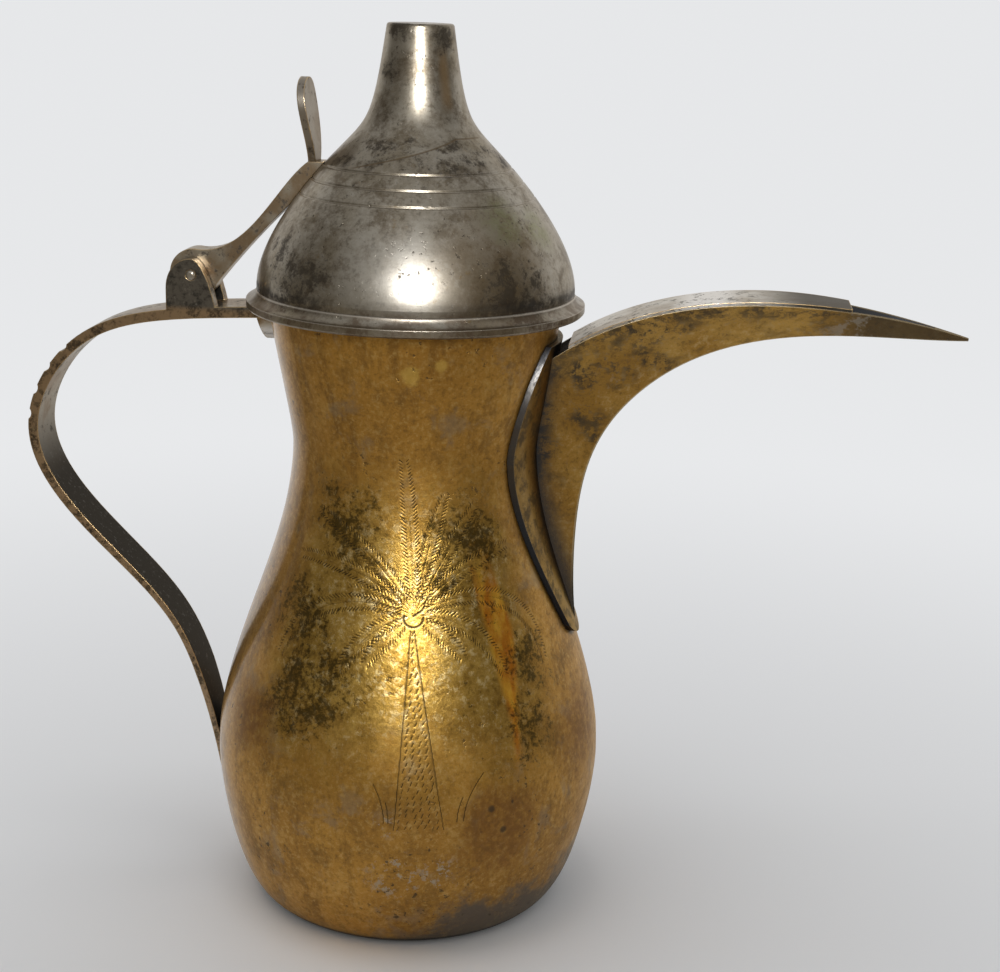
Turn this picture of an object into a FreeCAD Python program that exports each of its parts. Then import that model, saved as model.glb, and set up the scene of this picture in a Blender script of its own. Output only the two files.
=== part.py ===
import FreeCAD, Part
import math
import os

# Dallah coffee pot in millimetres
# Origin at the centre of the underside, +X towards the spout, +Z up

V = FreeCAD.Vector

# Body: radii and heights of the outer skin
base_r = 41.5
belly_r = 55.8
belly_z = 44.0
waist_r = 34.1
waist_z = 135.0
mouth_r = 40.8
mouth_z = 175.0
body_wall = 1.2
foot_roundness = 8.4
foot_rise = 1.8
belly_fullness_low = 12.1
belly_fullness_high = 29.3
waist_hollow_low = 31.0
waist_hollow_high = 7.0
neck_flare_run = 11.0
neck_flare_out = 1.0

# Base disc, let into the turned-in foot
foot_hole_r = 34.0
base_lap = 4.0
base_plate = 1.2

# Gap filled with solder wherever two pieces of one body meet
solder_gap = 0.04

# Spout: the lower keel is measured from the waist, the rest from the mouth
nose_out = 14.2
nose_drop = 52.0
throat_out = 12.8
throat_drop = 25.0
crook_out = 20.0
crook_rise = 6.0
bend_out = 30.2
bend_drop = 16.3
under_out = 55.2
under_drop = 6.2
beak_out = 81.2
beak_drop = 3.8
tip_out = 110.2
tip_drop = 3.6
tip_depth = 0.8
root_in = 10.8
root_drop = 20.4
shoulder_out = 21.2
shoulder_drop = 0.6
crest_out = 57.2
crest_rise = 5.0
spout_half_w = 9.2
spout_tip_half_w = 0.6
spout_taper_out = 63.2
spout_wall = 1.2
spout_solid_tip = 9.0
cover_plate = 1.0
cover_start_out = 2.7
cover_end_out = 78.2
section_count = 9
section_margin = 4.0
section_reach = 36.0

# Pour opening through the body wall behind the spout, above and below the waist
pour_below = 17.0
pour_above = 17.0
pour_low_w = 4.6
pour_high_w = 9.0

# Saddle flange round the root of the spout, wider than the spout
saddle_plate = 1.6
saddle_top_drop = 8.5
saddle_top_margin = 3.3
saddle_high_drop = 23.0
saddle_high_bulge = 14.8
saddle_low_drop = 27.0
saddle_low_bulge = 8.3
saddle_nose_lap = 1.5
saddle_nose_half = 8.5
saddle_nose_round = 3.9

# Handle strap, seen from the side: the grip is measured from the mouth, the tail from the belly
strap_w = 14.0
bar_t = 3.0
grip_t = 2.8
tail_t = 1.8
tail_tip_t = 1.4
bar_drop = 3.8
bar_sag = 2.3
bar_end_out = 29.2
bend_back_out = 54.2
bend_back_drop = 14.8
grip_out = 68.5
grip_drop = 40.0
knee_out = 32.2
knee_rise = 55.5
tail_bend_out = 12.6
tail_bend_rise = 33.0
tail_land_out = 4.8
tail_land_rise = 14.0
tail_tip_in = 2.0
tail_tip_drop = 20.5
tail_tip_w = 7.0
tail_taper_rise = 18.0
notch_count = 4
notch_pitch = 7.6
notch_depth = 0.65
notch_r = 2.2
notch_first_drop = 6.0

# Tongue at the end of the bar, soldered down the neck
tongue_drop = 8.6
tongue_w = 12.4
tongue_top_t = 3.6
tongue_low_t = 1.0

# Hinge, outside the mouth and above it
pin_out = 21.4
pin_rise = 5.4
pin_r = 1.35
pin_proud = 0.4
pin_end_r = 0.8
pin_clearance = 0.08
ear_t = 3.3
ear_top_r = 4.6
ear_back = 7.2
ear_front = 6.9
ear_shoulder = 4.0
ear_crown = 2.6
ear_brow = 5.2
ear_brow_drop = 1.0
knuckle_r = 6.9
knuckle_side_clearance = 0.3

# Lid: bell and finial, stacked from the mouth upwards
lid_drop = 1.55
lid_overhang = 3.2
skirt_h = 6.55
dome_h = 34.0
finial_h = 36.0
shoulder_r = 24.2
finial_r = 9.0
lid_wall = 1.2
dome_fullness = 12.1
dome_draw = 0.8
shoulder_run = 6.9
throat_run = 10.6
shoulder_slope = 1.07
finial_spread = 3.9
finial_run = 27.5
finial_edge_r = 0.8

# Turned grooves below the shoulder of the lid, spaced along its skin
groove_count = 3
groove_first = 2.2
groove_pitch = 5.0
groove_w = 1.0
groove_depth = 0.3

# Lid rim band and the collar that seats in the neck
rim_flare = 2.9
rim_h = 5.0
rim_flare_h = 2.8
rim_hollow = 0.6
rim_lip = 0.5
collar_depth = 7.0
collar_gap = 2.0
collar_wall = 1.0
seat_plate = 1.2
seat_gap = 0.2

# Arm on the lid and its thumb leaf: the arm starts at the pin and ends at the lid's shoulder
arm_neck_out = 6.9
arm_neck_rise = 7.5
arm_waist_out = 16.2
arm_waist_rise = 13.8
arm_waist_depth = 4.8
arm_root_out = 5.7
arm_root_down = 3.4
arm_end_out = 5.6
arm_end_drop = 1.4
arm_end_depth = 5.2
leaf_h = 22.4
leaf_foot_w = 7.0
leaf_t = 2.1
leaf_lean = 2.6
leaf_waist_w = 13.4
leaf_waist_rise = 9.0
leaf_crown_w = 25.0
leaf_crown_drop = 3.0
leaf_tip_w = 8.0


def bezier(*poles):
    """Edge of a Bezier curve in the XZ plane, from (x, z) poles."""
    curve = Part.BezierCurve()
    curve.setPoles([V(x, 0, z) for x, z in poles])
    return curve.toShape()


def spline(points):
    """Smooth curve in the XZ plane through (x, z) points."""
    curve = Part.BSplineCurve()
    curve.interpolate([V(x, 0, z) for x, z in points])
    return curve


def line(a, b):
    return Part.LineSegment(V(a[0], 0, a[1]), V(b[0], 0, b[1])).toShape()


def polyline(points):
    return [line(a, b) for a, b in zip(points, points[1:])]


def face_of(edges):
    return Part.Face(Part.Wire(Part.__sortEdges__(edges)))


def revolve(edges):
    return face_of(edges).revolve(V(0, 0, 0), V(0, 0, 1), 360)


def across(edges, width):
    """Solid from an XZ outline, as wide as given and centred on Y = 0."""
    face = face_of(edges)
    face.translate(V(0, -width / 2, 0))
    return face.extrude(V(0, width, 0))


def rod_y(x, z, radius, length):
    return Part.makeCylinder(radius, length, V(x, -length / 2, z), V(0, 1, 0))


def body_curves(grow, foot):
    """Skin of the body from foot to mouth, moved out by grow; foot is its lowest height."""
    low = bezier((base_r + grow, foot), (base_r + foot_roundness + grow, foot + foot_rise),
                 (belly_r + grow, belly_z - belly_fullness_low), (belly_r + grow, belly_z))
    mid = bezier((belly_r + grow, belly_z), (belly_r + grow, belly_z + belly_fullness_high),
                 (waist_r + grow, waist_z - waist_hollow_low), (waist_r + grow, waist_z))
    neck = bezier((waist_r + grow, waist_z), (waist_r + grow, waist_z + waist_hollow_high),
                  (mouth_r - neck_flare_out + grow, mouth_z - neck_flare_run),
                  (mouth_r + grow, mouth_z))
    return [low, mid, neck]


def body_solid(grow):
    """The body as a filled solid, grown outwards."""
    closing = polyline([(mouth_r + grow, mouth_z), (0, mouth_z), (0, 0), (base_r + grow, 0)])
    return revolve(body_curves(grow, 0) + closing)


# Body shell, open at the mouth and at the foot hole, with the pour opening behind the spout
inner_foot_r = base_r - body_wall
shell_closing = [line((mouth_r, mouth_z), (mouth_r - body_wall, mouth_z))]
shell_closing += polyline([(base_r, 0), (foot_hole_r, 0), (foot_hole_r, body_wall),
                           (inner_foot_r, body_wall)])
body_shell = revolve(body_curves(0, 0) + body_curves(-body_wall, body_wall) + shell_closing)
pour_corners = [(pour_low_w / 2, waist_z - pour_below), (pour_high_w / 2, waist_z + pour_above)]
pour_corners += [(-y, z) for y, z in reversed(pour_corners)]
pour_outline = Part.makePolygon([V(0, y, z) for y, z in pour_corners + pour_corners[:1]])
pour_cutter = Part.Face(pour_outline).extrude(V(belly_r, 0, 0))
body_shell = body_shell.cut(pour_cutter)

# Base disc: a plug flush with the foot and a flange that laps the turned-in edge
plug_r = foot_hole_r - solder_gap
base_disc = Part.makeCylinder(plug_r, body_wall)
base_disc = base_disc.fuse(Part.makeCylinder(foot_hole_r + base_lap, base_plate, V(0, 0, body_wall)))
base_disc = base_disc.removeSplitter()

# Spout: V sections that stand square on the keel, cut off along the top edge
nose_z = waist_z - nose_drop
tip_x = mouth_r + tip_out
tip_z = mouth_z - tip_drop
tip_top = tip_z + tip_depth
root_x = mouth_r - root_in
root_z = mouth_z - root_drop
keel = spline([(waist_r + nose_out, nose_z), (waist_r + throat_out, waist_z - throat_drop),
               (waist_r + crook_out, waist_z + crook_rise), (mouth_r + bend_out, mouth_z - bend_drop),
               (mouth_r + under_out, mouth_z - under_drop), (mouth_r + beak_out, mouth_z - beak_drop),
               (tip_x, tip_z)])
top_edge = spline([(root_x, root_z), (mouth_r + shoulder_out, mouth_z - shoulder_drop),
                   (mouth_r + crest_out, mouth_z + crest_rise), (tip_x, tip_top)])
body_skin = body_solid(solder_gap)


def top_half_width(x):
    """Half width of the beak's top: even at first, then narrowing to the tip."""
    share = max(0, (x - mouth_r - spout_taper_out) / (tip_out - spout_taper_out))
    return spout_half_w + (spout_tip_half_w - spout_half_w) * share


def spout_wedge(wall, short):
    """Filled V of the spout with its faces moved inwards by the wall, ending short of the tip."""
    sections = []
    start = keel.FirstParameter
    end = keel.parameter(V(tip_x - short, 0, tip_z))
    for i in range(section_count):
        u = start + (end - start) * i / (section_count - 1)
        foot = keel.value(u)
        along = keel.tangent(u)[0]
        inward = V(-along.z, 0, along.x)
        brim = top_edge.value(top_edge.parameter(foot))
        deep = foot.distanceToPoint(brim)
        half_angle = math.atan(top_half_width(brim.x) / deep)
        apex = foot + inward * (wall / math.sin(half_angle))
        reach = min(deep, section_reach) + section_margin
        half_w = reach * math.tan(half_angle) - wall / math.cos(half_angle)
        left = foot + inward * reach + V(0, half_w, 0)
        right = foot + inward * reach - V(0, half_w, 0)
        sections.append(Part.makePolygon([apex, left, right, apex]))
    return Part.makeLoft(sections, True, False)


def raised(curve, rise):
    edge = curve.toShape()
    edge.translate(V(0, 0, rise))
    return edge


wide = 2 * belly_r
sky = 2 * mouth_z
wedge = spout_wedge(0, 0)
hollow = spout_wedge(spout_wall, spout_solid_tip)
past_tip = tip_x + tip_depth
above_top = across([top_edge.toShape()] + polyline([
    (tip_x, tip_top), (past_tip, tip_top), (past_tip, sky), (root_x, sky), (root_x, root_z)]), wide)
behind_root = Part.makeBox(root_x + belly_r, wide, sky, V(-belly_r, -wide / 2, 0))
cheeks = wedge.cut(hollow).cut(above_top).cut(body_skin).cut(behind_root)
near_half = Part.makeBox(2 * tip_x, wide, sky, V(0, -wide, 0))
far_half = Part.makeBox(2 * tip_x, wide, sky, V(0, 0, 0))
spout_cheek_near = cheeks.common(near_half)
spout_cheek_far = cheeks.common(far_half)

# Cover strip bedded on the top edges of the cheeks
cover_low = solder_gap
cover_high = solder_gap + cover_plate
cover_slab = across([raised(top_edge, cover_low), raised(top_edge, cover_high)]
                    + polyline([(root_x, root_z + cover_low), (root_x, root_z + cover_high)])
                    + polyline([(tip_x, tip_top + cover_low), (tip_x, tip_top + cover_high)]), wide)
cover_start = mouth_r + cover_start_out
cover_span = Part.makeBox(cover_end_out - cover_start_out, wide, sky, V(cover_start, -wide / 2, 0))
spout_cover = cover_slab.common(wedge).common(cover_span)

# Saddle: a skin on the body inside a drop-shaped outline, a ring round the root of the spout
saddle_top_z = mouth_z - saddle_top_drop
saddle_top_half = spout_half_w + saddle_top_margin
saddle_end_z = nose_z - saddle_nose_lap
saddle_nose_z = saddle_end_z + saddle_nose_round
saddle_curve = Part.BezierCurve()
saddle_curve.setPoles([V(0, saddle_top_half, saddle_top_z),
                       V(0, spout_half_w + saddle_high_bulge, mouth_z - saddle_high_drop),
                       V(0, spout_half_w + saddle_low_bulge, waist_z - saddle_low_drop),
                       V(0, saddle_nose_half, saddle_nose_z)])
saddle_side = saddle_curve.toShape()
saddle_mirror = saddle_side.mirror(V(0, 0, 0), V(0, 1, 0))
saddle_top = Part.makeLine(V(0, saddle_top_half, saddle_top_z), V(0, -saddle_top_half, saddle_top_z))
saddle_nose = Part.Arc(V(0, saddle_nose_half, saddle_nose_z),
                       V(0, 0, saddle_end_z),
                       V(0, -saddle_nose_half, saddle_nose_z)).toShape()
saddle_prism = face_of([saddle_side, saddle_mirror, saddle_top, saddle_nose]).extrude(V(2 * belly_r, 0, 0))
saddle_skin = body_solid(solder_gap + saddle_plate).cut(body_skin)
saddle_opening = spout_wedge(-solder_gap, 0).cut(above_top.translated(V(0, 0, solder_gap)))
spout_saddle = saddle_skin.common(saddle_prism).cut(saddle_opening)

# Handle: a strap drawn as an outline from the side, thick at the bar and thin at the tail
bar_z = mouth_z - bar_drop
bend_back_z = mouth_z - bend_back_drop
strap_stations = [(-mouth_r + bar_t, bar_z, bar_t),
                  (-mouth_r - bar_end_out, bar_z - bar_sag, bar_t),
                  (-mouth_r - bend_back_out, bend_back_z, grip_t),
                  (-mouth_r - grip_out, mouth_z - grip_drop, grip_t),
                  (-belly_r - knee_out, belly_z + knee_rise, (grip_t + tail_t) / 2),
                  (-belly_r - tail_bend_out, belly_z + tail_bend_rise, tail_t),
                  (-belly_r - tail_land_out, belly_z + tail_land_rise, tail_t),
                  (-belly_r + tail_tip_in, belly_z - tail_tip_drop, tail_tip_t)]
strap_middle = spline([(x, z) for x, z, t in strap_stations])


def strap_side(sign):
    """One face of the strap, half its thickness from the middle line."""
    points = []
    for x, z, t in strap_stations:
        along = strap_middle.tangent(strap_middle.parameter(V(x, 0, z)))[0]
        points.append((x + sign * along.z * t / 2, z - sign * along.x * t / 2))
    return points


inner_points = strap_side(-1)
outer_points = strap_side(1)
outer_curve = spline(outer_points)
strap_edges = [spline(inner_points).toShape(), outer_curve.toShape()]
strap_edges += [line(inner_points[0], outer_points[0]), line(inner_points[-1], outer_points[-1])]
strap = across(strap_edges, strap_w)

# The tail narrows in width as it runs out on the belly
tail_plan = [(strap_w / 2, sky), (strap_w / 2, belly_z + tail_taper_rise), (tail_tip_w / 2, 0)]
tail_plan += [(-y, z) for y, z in reversed(tail_plan)]
far_back = -2 * (mouth_r + grip_out)
tail_plan_wire = Part.makePolygon([V(far_back, y, z) for y, z in tail_plan + tail_plan[:1]])
strap = strap.common(Part.Face(tail_plan_wire).extrude(V(-far_back, 0, 0)))

# Notches across the back of the grip, at equal steps along the outer face
notch_u = outer_curve.parameter(V(outer_points[2][0], 0, bend_back_z - notch_first_drop))
notch_start = outer_curve.length(outer_curve.FirstParameter, notch_u)
for i in range(notch_count):
    u = outer_curve.parameterAtDistance(notch_start + i * notch_pitch, outer_curve.FirstParameter)
    at = outer_curve.value(u)
    along = outer_curve.tangent(u)[0]
    outward = V(along.z, 0, -along.x)
    centre = at + outward * (notch_r - notch_depth)
    strap = strap.cut(rod_y(centre.x, centre.z, notch_r, 2 * strap_w))

# Two hinge ears that rise from the bar
pin_x = -mouth_r - pin_out
pin_z = mouth_z + pin_rise
ear_foot_z = bar_z - bar_sag
ear_outline = [
    line((pin_x - ear_back, ear_foot_z), (pin_x - ear_back, pin_z - ear_shoulder)),
    bezier((pin_x - ear_back, pin_z - ear_shoulder), (pin_x - ear_back, pin_z + ear_top_r / 3),
           (pin_x - ear_back / 2, pin_z + ear_top_r), (pin_x, pin_z + ear_top_r)),
    bezier((pin_x, pin_z + ear_top_r), (pin_x + ear_crown, pin_z + ear_top_r),
           (pin_x + ear_brow, pin_z - ear_brow_drop), (pin_x + ear_front, bar_z)),
    line((pin_x + ear_front, bar_z), (pin_x + ear_front, ear_foot_z)),
    line((pin_x + ear_front, ear_foot_z), (pin_x - ear_back, ear_foot_z)),
]
ear_gap = strap_w - 2 * ear_t
ears = across(ear_outline, strap_w).cut(across(ear_outline, ear_gap))

# Tongue that turns down from the bar and lies on the neck, rounded at its foot
tongue_low_z = bar_z - tongue_drop
tongue_back = -mouth_r - tongue_top_t
tongue = across(polyline([
    (tongue_back, bar_z), (-mouth_r - tongue_low_t, tongue_low_z), (-waist_r, tongue_low_z),
    (-waist_r, bar_z), (tongue_back, bar_z)]), tongue_w)
round_r = tongue_w / 2
round_z = tongue_low_z + round_r
tongue_plan = Part.makeBox(2 * mouth_r, tongue_w, tongue_drop, V(-2 * mouth_r, -round_r, round_z))
tongue_plan = tongue_plan.fuse(Part.makeCylinder(round_r, 2 * mouth_r, V(0, 0, round_z), V(-1, 0, 0)))
tongue = tongue.common(tongue_plan)

handle = strap.fuse([ears, tongue]).cut(body_skin)
handle = handle.cut(rod_y(pin_x, pin_z, pin_r + solder_gap, 2 * strap_w)).removeSplitter()

# Hinge pin, peened at both ends
pin_core = rod_y(pin_x, pin_z, pin_r, strap_w)
pin_end = Part.makeCone(pin_r, pin_end_r, pin_proud, V(pin_x, strap_w / 2, pin_z), V(0, 1, 0))
hinge_pin = pin_core.fuse([pin_end, pin_end.mirror(V(0, 0, 0), V(0, 1, 0))]).removeSplitter()

# Lid heights and width, stacked from the mouth
lid_foot_z = mouth_z - lid_drop
dome_r = mouth_r + lid_overhang
dome_z = lid_foot_z + skirt_h
shoulder_z = dome_z + dome_h
lid_top_z = shoulder_z + finial_h


def lid_curves(grow):
    """Skin of the bell and finial, moved out by grow, from dome foot to finial top."""
    slope = shoulder_slope
    bell = bezier((dome_r + grow, dome_z), (dome_r - dome_draw + grow, dome_z + dome_fullness),
                  (shoulder_r + shoulder_run + grow, shoulder_z - shoulder_run * slope),
                  (shoulder_r + grow, shoulder_z))
    neck = bezier((shoulder_r + grow, shoulder_z),
                  (shoulder_r - throat_run + grow, shoulder_z + throat_run * slope),
                  (finial_r + finial_spread + grow, lid_top_z - finial_run), (finial_r + grow, lid_top_z))
    return [bell, neck]


def lid_solid(grow, top):
    """The lid as a filled solid down to its foot, grown outwards."""
    skirt = line((dome_r + grow, lid_foot_z), (dome_r + grow, dome_z))
    closing = polyline([(finial_r + grow, lid_top_z), (0, lid_top_z), (0, lid_foot_z),
                        (dome_r + grow, lid_foot_z)])
    whole = revolve([skirt] + lid_curves(grow) + closing)
    return whole.common(Part.makeCylinder(2 * dome_r, top))


def grooved(curve):
    """Edges of the bell's skin, with each groove a V between two stretches of it."""
    edges = []
    start = curve.FirstParameter
    length = curve.length()
    for i in reversed(range(groove_count)):
        middle = length - groove_first - i * groove_pitch
        low, deep, high = [curve.parameterAtDistance(middle + shift, curve.FirstParameter)
                           for shift in (-groove_w / 2, 0, groove_w / 2)]
        along = curve.tangent(deep)[0]
        bottom = curve.value(deep) - V(along.z, 0, -along.x) * groove_depth
        edges.append(curve.toShape(start, low))
        edges.append(Part.makeLine(curve.value(low), bottom))
        edges.append(Part.makeLine(bottom, curve.value(high)))
        start = high
    edges.append(curve.toShape(start, curve.LastParameter))
    return edges


def rounded_top(curve):
    """Edges of the finial's skin and the rounded edge at its top."""
    end = curve.parameterAtDistance(curve.length() - finial_edge_r, curve.FirstParameter)
    at = curve.value(end)
    return [curve.toShape(curve.FirstParameter, end),
            bezier((at.x, at.z), (finial_r, lid_top_z), (finial_r - finial_edge_r, lid_top_z))]


# Lid dome: one spun shell with turned grooves, closed at the top of the finial
bell_skin, neck_skin = [edge.Curve for edge in lid_curves(0)]
dome_outline = [line((dome_r, lid_foot_z), (dome_r, dome_z))] + grooved(bell_skin) + rounded_top(neck_skin)
dome_outline += polyline([(finial_r - finial_edge_r, lid_top_z), (0, lid_top_z), (0, lid_foot_z),
                          (dome_r, lid_foot_z)])
lid_skin = lid_solid(solder_gap, lid_top_z)
lid_dome = revolve(dome_outline).cut(lid_solid(-lid_wall, lid_top_z - lid_wall))

# Rim band round the foot of the lid, hollow at its top and flared to a lip
rim_in = dome_r + solder_gap
rim_r = dome_r + rim_flare
rim_top = lid_foot_z + rim_h
rim_flare_z = rim_top - rim_flare_h
rim_chord = V(rim_r - rim_in, 0, -rim_flare_h)
rim_inward = V(-rim_flare_h, 0, rim_in - rim_r).normalize()
rim_mid = V(rim_in, 0, rim_top) + rim_chord * 0.5 + rim_inward * rim_hollow
lid_rim = revolve([
    line((rim_in, lid_foot_z), (rim_in, rim_top)),
    Part.Arc(V(rim_in, 0, rim_top), rim_mid, V(rim_r, 0, rim_flare_z)).toShape(),
    line((rim_r, rim_flare_z), (rim_r, lid_foot_z + rim_lip)),
    line((rim_r, lid_foot_z + rim_lip), (rim_r - rim_lip, lid_foot_z)),
    line((rim_r - rim_lip, lid_foot_z), (rim_in, lid_foot_z)),
])

# Collar: a plate across the foot of the dome and a short tube that drops into the neck
seat_z = mouth_z + seat_gap
collar_r = mouth_r - body_wall - collar_gap
plate_r = dome_r - lid_wall - solder_gap
lid_collar = revolve(polyline([
    (collar_r - collar_wall, seat_z - collar_depth), (collar_r, seat_z - collar_depth), (collar_r, seat_z),
    (plate_r, seat_z), (plate_r, seat_z + seat_plate), (collar_r - collar_wall, seat_z + seat_plate),
    (collar_r - collar_wall, seat_z - collar_depth)]))

# Arm: knuckle between the ears, then a tapering bar up to the shoulder of the lid
arm_w = ear_gap - 2 * knuckle_side_clearance
arm_waist_x = pin_x + arm_waist_out
arm_waist_z = pin_z + arm_waist_rise
arm_end_x = -shoulder_r - arm_end_out
arm_end_z = shoulder_z - arm_end_drop
arm_top = spline([(pin_x, pin_z + knuckle_r), (pin_x + arm_neck_out, pin_z + arm_neck_rise),
                  (arm_waist_x, arm_waist_z), (arm_end_x, arm_end_z)])
arm_low = spline([(pin_x + arm_root_out, pin_z - arm_root_down),
                  (arm_waist_x, arm_waist_z - arm_waist_depth),
                  (arm_end_x + leaf_t, arm_end_z - arm_end_depth)])
arm_outline = [arm_top.toShape(), arm_low.toShape()]
arm_outline += [line((pin_x, pin_z + knuckle_r), (pin_x + arm_root_out, pin_z - arm_root_down))]
arm_outline += polyline([(arm_end_x, arm_end_z), (0, arm_end_z), (0, arm_end_z - arm_end_depth),
                         (arm_end_x + leaf_t, arm_end_z - arm_end_depth)])
lid_arm = across(arm_outline, arm_w).fuse(rod_y(pin_x, pin_z, knuckle_r, arm_w))
lid_arm = lid_arm.cut(lid_skin).cut(rod_y(pin_x, pin_z, pin_r + pin_clearance, strap_w)).removeSplitter()

# Thumb leaf, upright on the end of the arm and leaning back a little
leaf_top_z = arm_end_z + leaf_h
leaf_top_x = arm_end_x - leaf_lean
leaf_back = bezier((arm_end_x, arm_end_z), (arm_end_x, arm_end_z + leaf_h / 3),
                   (leaf_top_x, leaf_top_z - leaf_h / 3), (leaf_top_x, leaf_top_z))
leaf_front = leaf_back.translated(V(leaf_t, 0, 0))
leaf_side = [leaf_back, leaf_front]
leaf_side += [line((arm_end_x, arm_end_z), (arm_end_x + leaf_t, arm_end_z))]
leaf_side += [line((leaf_top_x, leaf_top_z), (leaf_top_x + leaf_t, leaf_top_z))]
leaf_curve = Part.BezierCurve()
leaf_curve.setPoles([V(0, leaf_foot_w / 2, arm_end_z), V(0, leaf_waist_w / 2, arm_end_z + leaf_waist_rise),
                     V(0, leaf_crown_w / 2, leaf_top_z - leaf_crown_drop), V(0, leaf_tip_w / 2, leaf_top_z),
                     V(0, 0, leaf_top_z)])
leaf_right = leaf_curve.toShape()
leaf_left = leaf_right.mirror(V(0, 0, 0), V(0, 1, 0))
leaf_foot = Part.makeLine(V(0, leaf_foot_w / 2, arm_end_z), V(0, -leaf_foot_w / 2, arm_end_z))
leaf_plan = face_of([leaf_right, leaf_left, leaf_foot])
leaf_plan.translate(V(2 * arm_end_x, 0, 0))
thumb_leaf = across(leaf_side, leaf_crown_w).common(leaf_plan.extrude(V(-2 * arm_end_x, 0, 0)))

nodes = {
    "body_shell": body_shell,
    "base_disc": base_disc,
    "spout_cheek_near": spout_cheek_near,
    "spout_cheek_far": spout_cheek_far,
    "spout_cover": spout_cover,
    "spout_saddle": spout_saddle,
    "handle": handle,
    "hinge_pin": hinge_pin,
    "lid_dome": lid_dome,
    "lid_rim": lid_rim,
    "lid_collar": lid_collar,
    "lid_arm": lid_arm,
    "thumb_leaf": thumb_leaf,
}
os.makedirs("parts", exist_ok=True)
for name, shape in nodes.items():
    solid = shape.Solids[0]
    solid.exportStep("parts/" + name + ".step")
    print(name, len(shape.Solids), shape.isValid(), round(shape.Volume, 1))
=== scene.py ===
import math
import random

import bpy
import numpy as np
from mathutils import Matrix, Vector


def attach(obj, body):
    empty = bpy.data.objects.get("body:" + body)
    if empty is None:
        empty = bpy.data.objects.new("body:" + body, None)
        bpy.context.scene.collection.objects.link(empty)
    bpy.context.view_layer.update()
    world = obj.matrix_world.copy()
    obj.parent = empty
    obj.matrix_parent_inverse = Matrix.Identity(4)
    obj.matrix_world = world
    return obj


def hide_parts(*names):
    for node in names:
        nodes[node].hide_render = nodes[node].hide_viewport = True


# Dallah coffee pot: looks around the CAD frame
# Sizes are in millimetres unless a name says otherwise, and go to metres through MM.
# Node trees work in metres, except for the sizes, centres and radii given to their helpers

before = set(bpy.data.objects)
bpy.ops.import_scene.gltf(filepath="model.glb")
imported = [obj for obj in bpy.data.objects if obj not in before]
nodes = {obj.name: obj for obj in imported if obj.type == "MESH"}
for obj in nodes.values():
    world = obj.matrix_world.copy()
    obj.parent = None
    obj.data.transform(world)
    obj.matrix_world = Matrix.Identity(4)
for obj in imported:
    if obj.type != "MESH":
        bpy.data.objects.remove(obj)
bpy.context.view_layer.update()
MM = 0.001

# Camera, at the photograph's view
camera_at = (76.5, -490.0, 263.4)
camera_azimuth = 6.0
camera_pitch = 15.9
camera_roll = 1.73
focal_px = 1800.0
image_width_px = 1000.0
sensor_mm = 36.0

# Body profile, as the CAD model has it
base_r, belly_r, belly_z = 41.5, 55.8, 44.0
waist_r, waist_z = 34.1, 135.0
mouth_r, mouth_z = 40.8, 175.0
body_wall = 1.2
foot_hole_r = 34.0
body_low = ((base_r, 0.0), (base_r + 8.4, 1.8), (belly_r, belly_z - 12.1), (belly_r, belly_z))
body_mid = ((belly_r, belly_z), (belly_r, belly_z + 29.3), (waist_r, waist_z - 31.0), (waist_r, waist_z))
body_neck = ((waist_r, waist_z), (waist_r, waist_z + 7.0), (mouth_r - 1.0, mouth_z - 11.0),
             (mouth_r, mouth_z))
pour_low_z, pour_high_z = 118.0, 152.0
pour_low_w, pour_high_w = 4.6, 9.0
pour_angle_deg = 90.0

# Mesh of the body: its first heights, its steps outside the engraved panel, and its rows inside, above the pour
# opening, beside it and below it. Rows within the margin of the opening follow its edges, and heights that are
# less than a hair apart count as the same
foot_heights = (0.0, 0.15, 0.5, 1.0)
belly_from, belly_step = 2.0, 1.3
neck_step = 1.5
back_step_deg = 2.4
inner_rows = (9, 12, 30)
pour_margin = 3.0
hair = 1e-6

# Hammered unevenness: waves round the body, each of some lobes and some twist, that fade out at both ends
dent_seed = 3
dent_depth = 0.16
dent_waves = 14
dent_lobes = (2, 9)
dent_twist = (0.05, 0.16)
dent_from, dent_to = (4, 20), (150, 165)

# Engraved palm on the front: angles in degrees from the front, towards the spout
palm_seed = 7
palm_angle = 9.5
palm_foot_z = 41.0
palm_heart_z = 97.5
trunk_foot_half = 6.8
trunk_top_half = 0.5
trunk_lean = 2.4
trunk_steps = 9
bark_rows = 30
bark_pitch = 1.9
heart_wide, heart_tall = 2.7, 2.2
tick_pitch = 0.92
tick_slants = (40, 54)
bare_steps = 3
rib_share = 0.62
stroke_w = 0.25
stroke_flat = 0.25
stroke_depth = 0.11
panel_step = 0.2
panel_r = 45.0
panel_angles = (-47.0, 70.0)
panel_heights = (39.0, 139.5)

# Fronds: direction at the heart and at the tip in degrees, and length
fronds = ((92, 97, 40.5), (79, 72, 32), (63, 54, 33), (50, 8, 33), (30, -74, 52), (0, -68, 34), (-28, -52, 18),
          (121, 158, 38), (135, 190, 38), (146, 182, 19), (158, 243, 48), (193, 248, 29), (214, 236, 19))


def smooth(value, low, high):
    """0 below low, 1 above high, and a smooth rise between them."""
    share = np.clip((value - low) / (high - low), 0.0, 1.0)
    return share * share * (3 - 2 * share)


def bezier(poles, shares):
    a, b, c, d = (np.array(p) for p in poles)
    t = shares[:, None]
    return (1 - t) ** 3 * a + 3 * (1 - t) ** 2 * t * b + 3 * (1 - t) * t * t * c + t ** 3 * d


profile_shares = np.linspace(0, 1, 400)
body_profile = np.vstack([bezier(p, profile_shares) for p in (body_low, body_mid, body_neck)])


def body_radius(z):
    return np.interp(z, body_profile[:, 1], body_profile[:, 0])


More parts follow.
